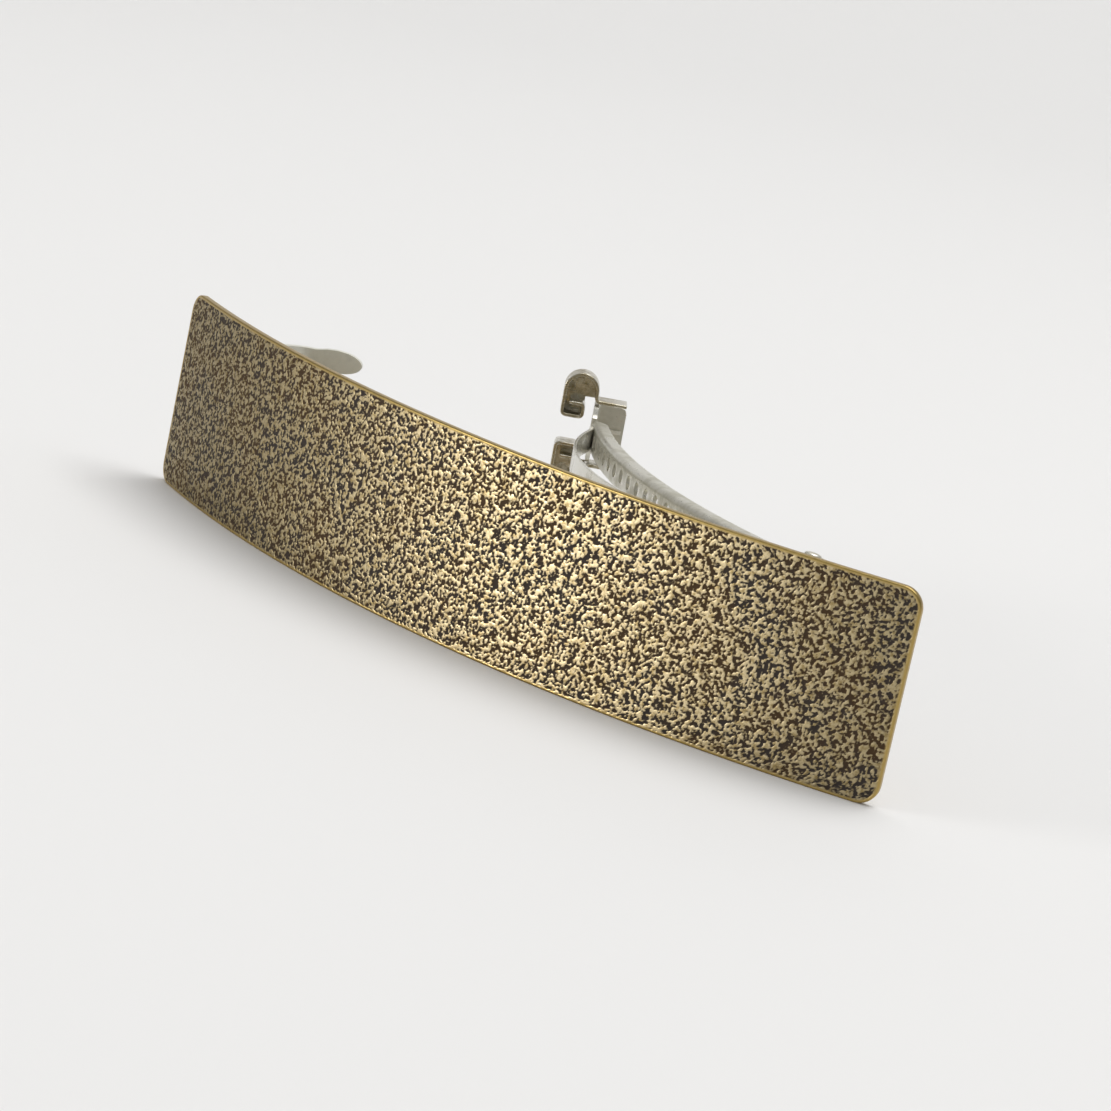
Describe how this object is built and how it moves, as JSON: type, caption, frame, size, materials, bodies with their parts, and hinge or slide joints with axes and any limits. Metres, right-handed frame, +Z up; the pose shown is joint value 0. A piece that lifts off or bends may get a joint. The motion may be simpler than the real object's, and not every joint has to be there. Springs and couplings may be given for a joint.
{
  "type": "barrette",
  "caption": "Hair barrette: a bent, textured brass plate with a hinged spring clip and sprung clasp on its hollow side, shown open.",
  "frame": {"origin": "middle of the plate's lower edge, at mid thickness, where the bend is deepest", "axes": "+X along the plate, +Y from the plate to the clip on its hollow side, +Z up, across the plate"},
  "size_m": [0.0978, 0.0499, 0.02],
  "materials": {
    "antique_brass": "hammered and darkened, crests polished bright, smooth rim",
    "clip_steel": "nickel plated, slightly aged",
    "bond": "cured clear adhesive"
  },
  "bodies": {
    "holder": {"face_plate": "antique_brass", "bond_left": "bond", "bond_right": "bond", "clip_base": "clip_steel", "hinge_pin": "clip_steel"},
    "arm": {"clasp_arm": "clip_steel", "tension_bow": "clip_steel", "bow_rivet_hinge": "clip_steel", "bow_rivet_tip": "clip_steel"},
    "upper_jaw": {"jaw_upper": "clip_steel"},
    "lower_jaw": {"jaw_lower": "clip_steel"}
  },
  "joints": [
    {"name": "arm_hinge", "type": "hinge", "parent": "holder", "child": "arm", "pos_m": [0.03594, 0.00886, 0.0165], "axis": [-0.0247, -0.1545, -0.9877], "range_deg": [-23, 67]},
    {"name": "upper_squeeze", "type": "hinge", "parent": "arm", "child": "upper_jaw", "pos_m": [-0.02399, 0.04517, 0.01541], "axis": [-0.676, 0.7348, -0.0556], "range_deg": [0, 7], "stiffness_Nm_per_rad": 0.02},
    {"name": "lower_squeeze", "type": "hinge", "parent": "arm", "child": "lower_jaw", "pos_m": [-0.02361, 0.04503, 0.00902], "axis": [0.676, -0.7348, 0.0556], "range_deg": [0, 7], "stiffness_Nm_per_rad": 0.02}
  ]
}
